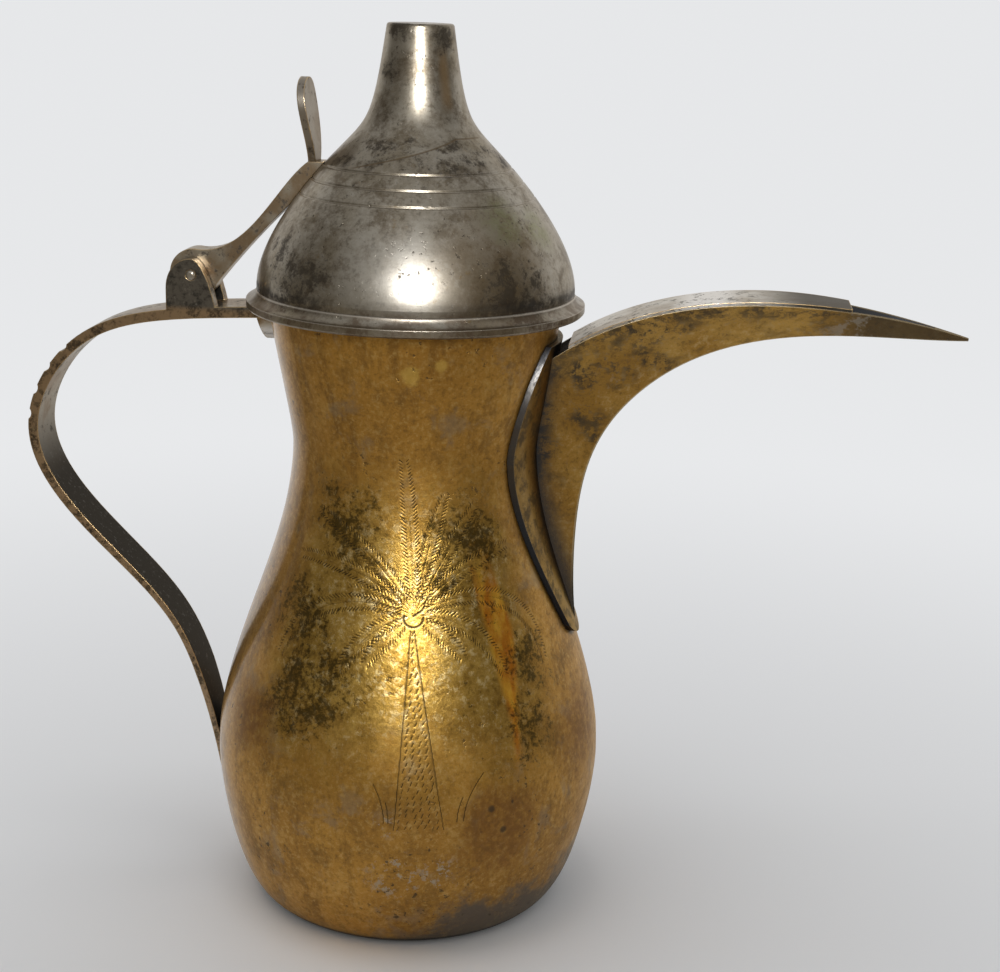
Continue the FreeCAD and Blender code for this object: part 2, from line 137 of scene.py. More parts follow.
def mesh_piece(name, vertices, faces, body, material):
    """A new piece from points in millimetres, riding on a body of the frame."""
    mesh = bpy.data.meshes.new(name)
    mesh.from_pydata([tuple(v) for v in np.array(vertices) * MM], [], faces)
    mesh.update()
    mesh.polygons.foreach_set("use_smooth", [True] * len(mesh.polygons))
    piece = bpy.data.objects.new(name, mesh)
    bpy.context.scene.collection.objects.link(piece)
    mesh.materials.append(material)
    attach(piece, body)
    return piece


# Engraving: strokes in the unrolled panel, as (across, height) points in millimetres
def trunk_half(share):
    return trunk_foot_half + (trunk_top_half - trunk_foot_half) * share


def frond_strokes(start_deg, end_deg, length, rng):
    """One frond: a thin rib, and a row of slanting ticks along each side of it."""
    strokes = []
    x, z = 0.3, palm_heart_z
    steps = int(length / tick_pitch)
    rib = [(x, z)]
    for i in range(steps):
        t = i / steps
        angle = math.radians(start_deg + (end_deg - start_deg) * t)
        x += tick_pitch * math.cos(angle)
        z += tick_pitch * math.sin(angle)
        rib.append((x, z))
        if i < bare_steps:
            continue
        swell = math.sin(math.pi * min(1.0, 0.18 + 0.74 * t))
        for side in (-1, 1):
            away = (0.25 + 1.05 * swell) * rng.uniform(0.9, 1.1)
            lean = angle + side * math.radians(rng.uniform(*tick_slants))
            size = (0.75 + 0.65 * swell) * rng.uniform(0.85, 1.1)
            foot = (x - side * away * math.sin(angle), z + side * away * math.cos(angle))
            tip = (foot[0] + size * math.cos(lean), foot[1] + size * math.sin(lean))
            strokes.append((foot, tip, rng.uniform(0.7, 0.95), rng.uniform(0.65, 1.0)))
    for a, b in zip(rib[2:], rib[3:int(steps * rib_share)]):
        strokes.append((a, b, 0.6, 0.6))
    return strokes


def palm_strokes():
    """Line segments of a date palm: trunk, bark dashes, heart, fronds and grass."""
    rng = random.Random(palm_seed)
    strokes = []

    def curve(points, width=1.0, depth=1.0):
        for a, b in zip(points, points[1:]):
            strokes.append((a, b, width, depth))

    # Trunk: two lines that close in upwards, and loose rows of slanted dashes between them
    trunk_top_z = palm_heart_z - 4.0
    trunk_h = trunk_top_z - palm_foot_z
    for side in (-1, 1):
        curve([(side * trunk_half(t) + trunk_lean * (1 - t), palm_foot_z + trunk_h * t)
               for t in (i / trunk_steps for i in range(trunk_steps + 1))], 0.85, 0.9)
    for row in range(bark_rows):
        t = (row + 0.5) / bark_rows
        half = trunk_half(t) - 0.35
        count = max(1, round(half * 2 / bark_pitch))
        for k in range(count):
            x = -half + 2 * half * (k + 0.5 + rng.uniform(-0.2, 0.2)) / count + trunk_lean * (1 - t)
            z = palm_foot_z + trunk_h * t + rng.uniform(-0.35, 0.35)
            tall = rng.uniform(0.8, 1.25)
            strokes.append(((x - 0.22, z - tall / 2), (x + 0.22, z + tall / 2), 0.85, rng.uniform(0.7, 1.0)))

    # Heart of the crown: an open cup and a short stroke in it
    cup = [(heart_wide * math.cos(a) + 0.2, heart_tall * math.sin(a) + palm_heart_z - 1.0)
           for a in (math.radians(160 + 21 * i) for i in range(11))]
    curve(cup, 1.25, 1.1)
    curve([(0.3, palm_heart_z - 0.3), (2.4, palm_heart_z + 1.0), (3.2, palm_heart_z + 2.2)], 1.2, 1.1)

    for start_deg, end_deg, length in fronds:
        strokes += frond_strokes(start_deg, end_deg, length, rng)

    # Grass at the foot: place, height and lean of each blade
    for x, height, lean in ((-9.5, 11, -3.0), (-8.3, 6, -0.8), (10.4, 7, 1.6), (12.3, 13, 5.5)):
        curve([(x + trunk_lean + lean * (i / 6) ** 2, palm_foot_z + 2 + height * i / 6) for i in range(7)], 0.9, 0.9)
    return strokes


def engraving(angles, heights):
    """How deep the strokes go, 0 to 1, at each point of a grid of angles and heights."""
    cut = np.zeros((len(heights), len(angles)))
    across = (angles[None, :] - math.radians(palm_angle)) * body_radius(heights)[:, None]
    tall = np.repeat(heights[:, None], len(angles), 1)
    reach = 2 * stroke_w
    for (ax, az), (bx, bz), width, depth in palm_strokes():
        rows = np.where((heights > min(az, bz) - reach) & (heights < max(az, bz) + reach))[0]
        if len(rows) == 0:
            continue
        window = slice(rows[0], rows[-1] + 1)
        x, z = across[window], tall[window]
        near = np.where((x > min(ax, bx) - reach) & (x < max(ax, bx) + reach))
        if len(near[0]) == 0:
            continue
        dx, dz = bx - ax, bz - az
        t = np.clip(((x[near] - ax) * dx + (z[near] - az) * dz) / (dx * dx + dz * dz), 0, 1)
        away = np.hypot(x[near] - ax - t * dx, z[near] - az - t * dz)
        groove = depth * (1 - smooth(away, stroke_flat * width * stroke_w, width * stroke_w))
        part = cut[window]
        part[near] = np.maximum(part[near], groove)
    return cut


def waviness(angles, heights, amount, seed):
    """Gentle hammered unevenness of a turned surface."""
    rng = random.Random(seed)
    wave = np.zeros((len(heights), len(angles)))
    for _ in range(dent_waves):
        around = rng.randint(*dent_lobes)
        twist = rng.uniform(*dent_twist)
        phase = rng.uniform(0, 2 * math.pi)
        wave += np.cos(around * angles[None, :] + twist * heights[:, None] + phase) / around
    return wave * amount / 3


def slot_wall(outer_edge, inner_edge, left, columns, vertices):
    """Faces through the thickness of the wall, round an opening two columns wide. Each edge is a list of rows
    of points, from the bottom up."""
    faces = []
    for column, flip in ((left, False), (left + 2, True)):
        outer = [row * columns + column for row in outer_edge]
        inner = [row * columns + column for row in inner_edge]
        i = j = 0
        while i + 1 < len(outer) or j + 1 < len(inner):
            outer_left, inner_left = i + 1 < len(outer), j + 1 < len(inner)
            if not inner_left or (outer_left and vertices[outer[i + 1]][2] <= vertices[inner[j + 1]][2]):
                face = (outer[i + 1], outer[i], inner[j])
                i += 1
            else:
                face = (outer[i], inner[j], inner[j + 1])
                j += 1
            faces.append(face[::-1] if flip else face)
    for outer_row, inner_row, flip in ((outer_edge[0], inner_edge[0], False), (outer_edge[-1], inner_edge[-1], True)):
        for column in (left, left + 1):
            outer, inner = outer_row * columns + column, inner_row * columns + column
            face = (outer, outer + 1, inner + 1, inner)
            faces.append(face[::-1] if flip else face)
    return faces


def body_piece(material):
    """The body as a thin-walled turned vessel with the palm engraved in its front."""
    fine = np.radians(np.arange(panel_angles[0], panel_angles[1], math.degrees(panel_step / panel_r)))
    rest_start, rest_end = panel_angles[1], panel_angles[0] + 360
    slot_half = math.degrees(math.asin(pour_high_w / 2 / waist_r))
    coarse = np.concatenate([np.arange(rest_start, pour_angle_deg - slot_half - 1, back_step_deg),
                             [pour_angle_deg - slot_half, pour_angle_deg, pour_angle_deg + slot_half],
                             np.arange(pour_angle_deg + slot_half + back_step_deg, rest_end, back_step_deg)])
    angles = np.concatenate([fine, np.radians(coarse)])
    columns = len(angles)
    left = int(np.argmin(abs(np.degrees(angles) - (pour_angle_deg - slot_half))))
    heights = np.concatenate([foot_heights, np.arange(belly_from, panel_heights[0], belly_step),
                              np.arange(panel_heights[0], panel_heights[1], panel_step),
                              np.arange(panel_heights[1], mouth_z - 0.8, neck_step), [mouth_z - 0.3, mouth_z]])
    cut = engraving(angles, heights)
    dents = waviness(angles, heights, dent_depth, dent_seed) * smooth(heights, *dent_from)[:, None]
    dents *= (1 - smooth(heights, *dent_to))[:, None]
    radius = body_radius(heights)[:, None] - stroke_depth * cut - abs(dents)
    inner_heights = np.concatenate([np.linspace(mouth_z, pour_high_z, inner_rows[0]),
                                    np.linspace(pour_high_z, pour_low_z, inner_rows[1])[1:],
                                    np.linspace(pour_low_z, body_wall, inner_rows[2])[1:]])
    inner_radius = np.repeat((body_radius(inner_heights) - body_wall)[:, None], columns, 1)
    inner_radius[-1] = base_r - body_wall

    def slot_warp(z, theta):
        """Angles of one row, with the two edges of the pour opening set to its width there."""
        share = np.clip((z - pour_low_z) / (pour_high_z - pour_low_z), 0, 1)
        half = math.asin((pour_low_w + (pour_high_w - pour_low_w) * share) / 2 / body_radius(z))
        warped = theta.copy()
        if pour_low_z - pour_margin <= z <= pour_high_z + pour_margin:
            warped[left] = math.radians(pour_angle_deg) - half
            warped[left + 2] = math.radians(pour_angle_deg) + half
        return warped

    def ring(z, r, theta):
        return np.stack([r * np.sin(theta), -r * np.cos(theta), np.full(columns, z)], 1)

    rings = [ring(z, radius[row], slot_warp(z, angles)) for row, z in enumerate(heights)]
    outer_rows = len(rings)
    rings += [ring(z, inner_radius[row], slot_warp(z, angles)) for row, z in enumerate(inner_heights)]
    rings += [ring(z, foot_hole_r, angles) for z in (body_wall, 0.0)]
    vertices = np.concatenate(rings)
    count = len(rings)
    slot_low = heights[np.argmin(abs(heights - pour_low_z))]
    slot_high = heights[np.argmin(abs(heights - pour_high_z))]
    in_slot = [slot_low - hair <= points[0, 2] <= slot_high + hair for points in rings]
    faces = []
    for row in range(count):
        below = row * columns
        next_row = (row + 1) % count
        above = next_row * columns
        for column in range(columns):
            if column in (left, left + 1) and in_slot[row] and in_slot[next_row]:
                continue
            beside = (column + 1) % columns
            faces.append((below + column, below + beside, above + beside, above + column))
    outer_edge = [row for row in range(outer_rows) if in_slot[row]]
    inner_edge = [row for row in reversed(range(outer_rows, count)) if in_slot[row]]
    faces += slot_wall(outer_edge, inner_edge, left, columns, vertices)

    # Points in the middle of the opening belong to no face and are left out
    keep = np.ones(len(vertices), bool)
    keep[[row * columns + left + 1 for row in outer_edge[1:-1] + inner_edge[1:-1]]] = False
    place = (np.cumsum(keep) - 1).tolist()
    faces = [tuple(place[i] for i in face) for face in faces]
    piece = mesh_piece("pot_body", vertices[keep], faces, "pot", material)
    groove = piece.data.attributes.new("groove", "FLOAT", "POINT")
    values = np.zeros(len(vertices), np.float32)
    values[:outer_rows * columns] = cut.ravel()
    groove.data.foreach_set("value", values[keep])
    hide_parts("body_shell")


# Colours of the metals and of what lies on them, in linear light; glance is the tint of grazing reflections.
# First the brass of the body
brass_tones = {
    "film_gold": (0.50, 0.268, 0.054), "film_brown": (0.38, 0.195, 0.038), "film_dark": (0.25, 0.138, 0.036),
    "film_light": (0.62, 0.385, 0.11), "streak": (0.18, 0.092, 0.025), "dot_light": (0.62, 0.42, 0.15),
    "dot_dark": (0.15, 0.085, 0.026), "dust": (0.27, 0.22, 0.155), "panel_light": (0.55, 0.345, 0.078),
    "panel_dark": (0.31, 0.175, 0.029), "fleck_light": (0.84, 0.67, 0.34), "fleck_dark": (0.17, 0.098, 0.018),
    "glint_light": (1.0, 0.56, 0.06), "glint_dark": (0.62, 0.20, 0.012), "mottling": (0.066, 0.042, 0.008),
    "stain": (0.19, 0.083, 0.022), "deposit": (0.44, 0.40, 0.32), "rubbed": (0.70, 0.47, 0.11),
    "foot": (0.112, 0.105, 0.096), "pit": (0.055, 0.042, 0.026), "groove": (0.05, 0.033, 0.012),
    "seam_tarnish_and_shade": (0.025, 0.022, 0.02), "glance": (0.97, 0.90, 0.78)}
# Brass of the spout
cheek_tones = {
    "gold": (0.50, 0.30, 0.075), "brown": (0.40, 0.22, 0.045), "fleck_light": (0.60, 0.42, 0.18),
    "fleck_dark": (0.16, 0.10, 0.035), "mottling": (0.19, 0.12, 0.042), "grime": (0.055, 0.047, 0.036),
    "bare": (0.36, 0.33, 0.28), "scuff": (0.56, 0.45, 0.29), "trough": (0.05, 0.045, 0.038),
    "keel": (0.76, 0.62, 0.38), "root": (0.032, 0.036, 0.043), "glance": (0.9, 0.68, 0.38)}
# Silver plate of the lid
lid_tones = {
    "silver": (0.36, 0.327, 0.27), "brown": (0.235, 0.197, 0.138), "band": (0.15, 0.12, 0.08),
    "mottling": (0.115, 0.086, 0.052), "fleck_light": (0.42, 0.385, 0.325), "fleck_dark": (0.085, 0.066, 0.042),
    "painted_highlight_patch": (0.52, 0.50, 0.46), "warm": (0.22, 0.155, 0.08), "green": (0.21, 0.215, 0.10),
    "finial_stain_and_reflection": (0.40, 0.27, 0.14), "yellow": (0.24, 0.155, 0.055), "blot": (0.045, 0.036, 0.026),
    "rim": (0.13, 0.092, 0.060), "crease_tarnish_and_shade": (0.04, 0.034, 0.028), "scribed": (0.13, 0.09, 0.05),
    "edge_wear_and_highlight": (0.50, 0.45, 0.38), "seam_tarnish_and_shade": (0.03, 0.026, 0.022), "glance": (0.86, 0.80, 0.72)}
# What handle, arm, leaf, pin and cover have in common
fitting_tones = {
    "fleck": (0.56, 0.52, 0.45), "painted_highlight": (0.95, 0.94, 0.92), "speck": (0.20, 0.19, 0.175),
    "flank_fleck": (0.54, 0.40, 0.23), "ear_light": (0.17, 0.156, 0.135), "ear_dark": (0.05, 0.046, 0.04),
    "ear_speck": (0.26, 0.24, 0.21), "solder": (0.74, 0.71, 0.66), "edge_wear_and_highlight": (0.66, 0.47, 0.24),
    "seam_tarnish_and_shade": (0.03, 0.026, 0.022), "glance": (0.72, 0.67, 0.60)}
# Brass of the saddle
saddle_tones = {
    "gold": (0.30, 0.185, 0.058), "brown": (0.20, 0.118, 0.038), "fleck": (0.46, 0.33, 0.15),
    "mottling": (0.07, 0.052, 0.03), "filed_painted_shade": (0.075, 0.062, 0.048), "filed_light": (0.50, 0.47, 0.42),
    "filed_mottling": (0.06, 0.050, 0.036), "filed_low_painted_shade": (0.045, 0.046, 0.05), "edge": (0.46, 0.40, 0.31),
    "root": (0.030, 0.033, 0.040), "glance": (0.85, 0.70, 0.48)}


# Materials
class Graph:
    """Makes nodes in a tree. An input takes a number, a colour or the output of another node."""

    def __init__(self, tree):
        self.tree = tree
        tree.nodes.clear()

    def node(self, kind, inputs=None, **settings):
        made = self.tree.nodes.new(kind)
        for key, value in settings.items():
            setattr(made, key, value)
        for key, value in (inputs or {}).items():
            if isinstance(value, bpy.types.NodeSocket):
                self.tree.links.new(value, made.inputs[key])
            else:
                made.inputs[key].default_value = value
        return made

    def math(self, operation, a, b=0.0):
        return self.node("ShaderNodeMath", {0: a, 1: b}, operation=operation).outputs[0]

    def times(self, a, b):
        return self.math("MULTIPLY", a, b)

    def plus(self, a, b):
        return self.math("ADD", a, b)

    def minus(self, a, b):
        return self.math("SUBTRACT", a, b)

    def most(self, a, b):
        return self.math("MAXIMUM", a, b)

    def rise(self, value, low, high):
        """0 to 1 as the value goes from low to high, smoothly."""
        made = self.node("ShaderNodeMapRange", {"Value": value, "From Min": low, "From Max": high},
                         interpolation_type="SMOOTHSTEP")
        return made.outputs[0]

    def between(self, value, low, high, soft):
        """1 from low to high and 0 outside, over a soft step at each end."""
        up = self.rise(value, low - soft, low + soft)
        down = self.rise(value, high + soft, high - soft)
        return self.times(up, down)

    def noise(self, vector, size_mm, detail=5.0, rough=0.6, distortion=0.0):
        """Noise round 0.5, in spots of about the given size."""
        made = self.node("ShaderNodeTexNoise", {
            "Vector": vector, "Scale": 1000.0 / size_mm, "Detail": detail, "Roughness": rough,
            "Distortion": distortion})
        return made.outputs["Fac"]

    def scaled(self, vector, x, y, z):
        return self.node("ShaderNodeMapping", {"Vector": vector, "Scale": (x, y, z)}).outputs[0]

    def mix(self, factor, a, b):
        made = self.node("ShaderNodeMix", data_type="RGBA")
        for socket, value in ((made.inputs[0], factor), (made.inputs[6], a), (made.inputs[7], b)):
            if isinstance(value, bpy.types.NodeSocket):
                self.tree.links.new(value, socket)
            elif socket.type == "RGBA":
                socket.default_value = (*value, 1.0)
            else:
                socket.default_value = value
        return made.outputs[2]

    def layer(self, base, mask, weight, colour):
        """Base colour with another laid over it where the mask is 1, as thickly as the weight says."""
        return self.mix(self.times(mask, weight), base, colour)

    def blend(self, factor, a, b):
        """Number from a to b as factor goes from 0 to 1."""
        made = self.node("ShaderNodeMix", {0: factor, 2: a, 3: b}, data_type="FLOAT")
        return made.outputs[0]

    def blob(self, vector, centre_mm, radius_mm, soft_mm, ragged=None):
        """1 near a point of the object and 0 away from it, with an edge that noise can make ragged."""
        point = tuple(c * MM for c in centre_mm)
        far = self.node("ShaderNodeVectorMath", {0: vector, 1: point}, operation="DISTANCE").outputs["Value"]
        if ragged is not None:
            far = self.plus(far, self.times(self.minus(ragged, 0.5), 2 * radius_mm * MM))
        return self.rise(far, (radius_mm + soft_mm) * MM, (radius_mm - soft_mm) * MM)


class Metal:
    """A worn metal: the common inputs of a material that is built up in layers. Its x, y and z are in metres,
    and its angle is in radians from the front, towards the spout."""

    edge_range = (0.99, 0.86)
    edge_samples = 6
    sky_samples = 8
    film_roughness = 0.14

    def __init__(self, name):
        self.material = bpy.data.materials.new(name)
        self.material.use_nodes = True
        self.g = Graph(self.material.node_tree)
        self.at = self.g.node("ShaderNodeTexCoord").outputs["Object"]
        parts = self.g.node("ShaderNodeSeparateXYZ", {0: self.at})
        self.x, self.y, self.z = parts.outputs[0], parts.outputs[1], parts.outputs[2]
        self.angle = self.g.math("ARCTAN2", self.x, self.g.times(self.y, -1.0))

    def edges(self, radius_mm):
        """1 on convex and concave edges, from a bevelled normal set against the true one."""
        g = self.g
        soft = g.node("ShaderNodeBevel", {"Radius": radius_mm * MM}, samples=self.edge_samples).outputs[0]
        true = g.node("ShaderNodeNewGeometry").outputs["Normal"]
        same = g.node("ShaderNodeVectorMath", {0: soft, 1: true}, operation="DOT_PRODUCT").outputs["Value"]
        return g.rise(same, *self.edge_range)

    def crevice(self, distance_mm, openness=0.75, closeness=0.25):
        """1 in corners and seams, 0 in the open, from how much of the sky a point sees nearby."""
        g = self.g
        open_part = g.node("ShaderNodeAmbientOcclusion", {"Distance": distance_mm * MM}, samples=self.sky_samples)
        return g.rise(open_part.outputs["AO"], openness, closeness)

    def finish(self, colour, roughness, height, bump_mm, bevel_mm, coat, tint):
        """Metal with softened edges under a thin clear film; tint colours its glancing reflections."""
        g = self.g
        soft = g.node("ShaderNodeBevel", {"Radius": bevel_mm * MM}, samples=self.edge_samples).outputs[0]
        bump = g.node("ShaderNodeBump", {
            "Height": height, "Strength": 1.0, "Distance": bump_mm * MM, "Normal": soft}).outputs[0]
        shader = g.node("ShaderNodeBsdfPrincipled", {
            "Base Color": colour, "Roughness": roughness, "Metallic": 1.0, "Normal": bump,
            "Specular Tint": (*tint, 1.0), "Coat Weight": coat,
            "Coat Roughness": self.film_roughness, "Coat Normal": soft})
        g.node("ShaderNodeOutputMaterial", {"Surface": shader.outputs[0]})
        return self.material


def brass_material():
    """Old brass: a brown film, a polished panel round the engraving, dark mottling, stains and pits."""
    m = Metal("aged_brass")
    g = m.g
    tone = brass_tones
    haze = g.noise(m.at, 34, 4, 0.55, 0.2)
    mottle = g.noise(m.at, 9, 10, 0.76, 0.15)
    flecks = g.noise(m.at, 1.6, 5, 0.72)
    grain = g.noise(m.at, 0.6, 3, 0.7)
    streaks = g.noise(g.scaled(m.at, 1, 1, 0.2), 6, 6, 0.65, 0.2)
    rag = g.noise(m.at, 15, 9, 0.74)
    speckle = g.noise(m.at, 2.6, 9, 0.8)
    dots = g.noise(m.at, 1.5, 6, 0.74)

    # Film over the metal: gold rubbed through brown, with olive and grey haze in places
    film = g.mix(g.rise(haze, 0.36, 0.64), tone["film_gold"], tone["film_brown"])
    film = g.layer(film, g.rise(mottle, 0.49, 0.62), 0.6, tone["film_dark"])
    film = g.layer(film, g.rise(mottle, 0.46, 0.38), 0.35, tone["film_light"])
    film = g.layer(film, g.rise(streaks, 0.52, 0.66), 0.5, tone["streak"])
    film = g.layer(film, g.rise(dots, 0.51, 0.64), 0.45, tone["dot_light"])
    film = g.layer(film, g.rise(dots, 0.48, 0.36), 0.45, tone["dot_dark"])
    dusty = g.rise(g.noise(m.at, 13, 6, 0.66, 0.3), 0.55, 0.68)
    film = g.layer(film, dusty, 0.4, tone["dust"])

    # Polished panel, flecked with bright gold, with ragged edges that fade into the film
    rag_angle = g.plus(m.angle, g.times(g.minus(rag, 0.5), 0.8))
    rag_z = g.plus(m.z, g.times(g.minus(rag, 0.5), 0.045))
    panel = g.times(g.between(rag_angle, -0.66, 0.86, 0.2), g.between(rag_z, 0.062, 0.124, 0.020))
    gold = g.mix(g.rise(mottle, 0.36, 0.62), tone["panel_light"], tone["panel_dark"])
    gold = g.layer(gold, g.rise(speckle, 0.51, 0.62), 0.6, tone["fleck_light"])
    gold = g.layer(gold, g.rise(speckle, 0.48, 0.38), 0.6, tone["fleck_dark"])
    colour = g.mix(panel, film, gold)
    rough = g.blend(panel, g.blend(g.rise(mottle, 0.38, 0.62), 0.42, 0.54), 0.32)

    # Warm glint down the right of the panel
    bent = g.most(g.minus(m.z, 0.092), 0.0)
    lean = g.plus(m.angle, g.times(bent, 4.5))
    half = g.blend(g.rise(m.z, 0.064, 0.092), 0.012, 0.085)
    off_line = g.minus(g.math("ABSOLUTE", g.minus(lean, 0.74)), half)
    glint = g.times(g.rise(off_line, 0.03, -0.02), g.between(rag_z, 0.060, 0.106, 0.008))
    warm = g.mix(g.rise(streaks, 0.36, 0.60), tone["glint_light"], tone["glint_dark"])
    colour = g.layer(colour, glint, 0.85, warm)

    # Dark mottling, thick on both sides of the panel and speckled with gold
    zones = g.times(panel, 0.35)
    for centre, radius in (((-13, -34, 119), 12), ((-24, -37, 95), 11), ((-19.6, -45.5, 76), 15),
                           ((-27, -43, 69), 9), ((19, -31, 117), 12), ((39, -31, 82), 10), ((37, -36, 66), 9),
                           ((12, -33, 108), 8)):
        zones = g.most(zones, g.blob(m.at, centre, radius, radius, rag))
    clusters = g.plus(dots, g.times(g.minus(mottle, 0.5), 0.7))
    dark = g.rise(clusters, g.blend(zones, 0.68, 0.36), g.blend(zones, 0.82, 0.58))
    colour = g.layer(colour, dark, 0.88, tone["mottling"])

    # Brown stains low on both sides, pale deposits low at the front, rubbed spots on the neck
    stain = g.blob(m.at, (34, -44, 38), 12, 7, rag)
    stain = g.most(stain, g.blob(m.at, (53, -16, 57), 13, 7, rag))
    stain = g.most(stain, g.blob(m.at, (-38, -36, 62), 9, 6, rag))
    stain = g.times(stain, g.rise(speckle, 0.28, 0.58))
    colour = g.layer(colour, stain, 0.8, tone["stain"])
    chips = g.noise(m.at, 3.2, 7, 0.74)
    pale = g.most(g.blob(m.at, (5, -53.6, 26), 7, 4), g.blob(m.at, (17, -51, 26.5), 5, 3))
    pale = g.most(pale, g.blob(m.at, (2.5, -55.7, 42), 3, 2))
    pale = g.times(pale, g.rise(chips, 0.53, 0.59))
    colour = g.layer(colour, pale, 0.75, tone["deposit"])
    for centre, radius in (((4.9, -38.5, 162.2), 2.4), ((12.8, -37.1, 165), 1.4)):
        rubbed = g.blob(m.at, centre, radius, 0.8, chips)
        colour = g.layer(colour, rubbed, 0.6, tone["rubbed"])

    # Grey tarnish on the right of the foot, where it rises
    foot_top = g.blend(g.rise(m.angle, -0.1, 0.7), 0.003, 0.017)
    foot = g.rise(g.minus(rag_z, foot_top), 0.004, -0.007)
    foot = g.times(foot, g.between(m.angle, 0.05, 2.3, 0.3))
    colour = g.layer(colour, foot, 0.85, tone["foot"])

    # Pits: scattered in fields, thick low at the front, and two round dimples
    field = g.rise(g.noise(m.at, 24, 3, 0.6), 0.50, 0.64)
    field = g.most(field, g.blob(m.at, (9, -52, 21), 17, 8, rag))
    pits = g.times(g.rise(g.noise(m.at, 2.0, 3, 0.62), 0.61, 0.68), field)
    for centre in ((30.3, -46.8, 45.3), (33.4, -44.3, 38.3)):
        pits = g.most(pits, g.blob(m.at, centre, 1.0, 0.4))
    colour = g.layer(colour, pits, 0.75, tone["pit"])
    matt = g.most(foot, g.most(pits, pale))
    rough = g.most(rough, g.times(matt, 0.6))

    # Engraved strokes hold dark tarnish at their bottom; the seams hold dark tarnish too, with painted shade where
    # little of the sky reaches
    groove = g.node("ShaderNodeAttribute", attribute_name="groove").outputs["Fac"]
    colour = g.layer(colour, g.rise(groove, 0.2, 0.75), 0.9, tone["groove"])
    colour = g.layer(colour, m.crevice(3.2, openness=0.85, closeness=0.45), 0.9, tone["seam_tarnish_and_shade"])

    height = g.plus(g.times(grain, 0.12), g.times(flecks, g.blend(panel, 0.35, 0.9)))
    height = g.minus(height, g.times(pits, 0.5))

    # The clear film is thicker on the left
    film_side = g.blend(g.between(m.angle, -2.4, -0.95, 0.2), 0.16, 0.75)
    return m.finish(colour, rough, height, bump_mm=0.13, bevel_mm=0.25, coat=film_side, tint=tone["glance"])


def cheek_material():
    """Brass of the spout: dull gold, grimy along the top edge, grey with wear towards the tip, and dark at its root
    with tarnish and painted shade.
    """
    m = Metal("spout_brass")
    g = m.g
    tone = cheek_tones
    haze = g.noise(m.at, 22, 5, 0.6, 0.2)
    mottle = g.noise(g.scaled(m.at, 0.6, 1, 1), 6, 8, 0.74, 0.2)
    speckle = g.noise(m.at, 2.2, 8, 0.8)
    grain = g.noise(m.at, 0.6, 3, 0.7)
    colour = g.mix(g.rise(haze, 0.38, 0.62), tone["gold"], tone["brown"])
    colour = g.layer(colour, g.rise(speckle, 0.51, 0.62), 0.6, tone["fleck_light"])
    colour = g.layer(colour, g.rise(speckle, 0.48, 0.38), 0.6, tone["fleck_dark"])
    colour = g.layer(colour, g.rise(mottle, 0.50, 0.64), 0.5, tone["mottling"])

    # Depth below the top edge, which rises to a crest and falls to the tip
    crest_x, crest_z = 0.098, 0.180
    bend_before, bend_after = 4.3, 2.8
    past_crest = g.minus(m.x, crest_x)
    bend = g.blend(g.rise(past_crest, -0.01, 0.01), bend_before, bend_after)
    top = g.minus(crest_z, g.times(bend, g.times(past_crest, past_crest)))
    below = g.minus(top, m.z)
    tip = g.rise(m.x, 0.096, 0.122)
    rim = g.times(g.rise(below, 0.008, 0.001), 0.9)
    grime = g.most(g.most(rim, g.times(tip, 0.9)),
                   g.rise(g.noise(m.at, 26, 3, 0.6), 0.50, 0.62))
    clusters = g.plus(speckle, g.times(g.minus(mottle, 0.5), 0.9))
    dark = g.times(grime, g.rise(clusters, 0.42, 0.58))
    dark = g.most(dark, g.times(g.rise(m.x, 0.104, 0.126), 0.9))
    colour = g.layer(colour, dark, 0.9, tone["grime"])
    bare = g.times(g.between(m.x, 0.112, 0.134, 0.006), g.rise(g.noise(m.at, 7, 6, 0.7), 0.53, 0.60))
    colour = g.layer(colour, bare, 0.5, tone["bare"])

    # Scuffs near the root, the dark inside of the open beak, and the rubbed edge of the keel
    scuffs = g.rise(g.noise(g.scaled(m.at, 1, 1, 0.5), 3.2, 4, 0.65), 0.63, 0.70)
    scuffs = g.times(scuffs, g.blob(m.at, (58, -5, 142), 14, 8))
    colour = g.layer(colour, scuffs, 0.6, tone["scuff"])
    up = g.node("ShaderNodeSeparateXYZ", {0: g.node("ShaderNodeNewGeometry").outputs["True Normal"]}).outputs[2]
    trough = g.times(g.rise(m.x, 0.112, 0.118), g.rise(up, 0.1, 0.3))
    colour = g.layer(colour, trough, 0.9, tone["trough"])
    keel = g.times(m.edges(0.45), g.blend(tip, 0.75, 0.35))
    colour = g.mix(keel, colour, tone["keel"])
    # Dark tarnish and painted shade where the spout meets the body
    root = m.crevice(10.0, openness=0.95, closeness=0.76)
    colour = g.layer(colour, root, 0.92, tone["root"])
    rough = g.blend(g.most(dark, root), 0.38, 0.50)
    height = g.plus(g.times(grain, 0.4), g.times(mottle, 0.8))
    return m.finish(colour, rough, height, bump_mm=0.035, bevel_mm=0.3, coat=0.15, tint=tone["glance"])


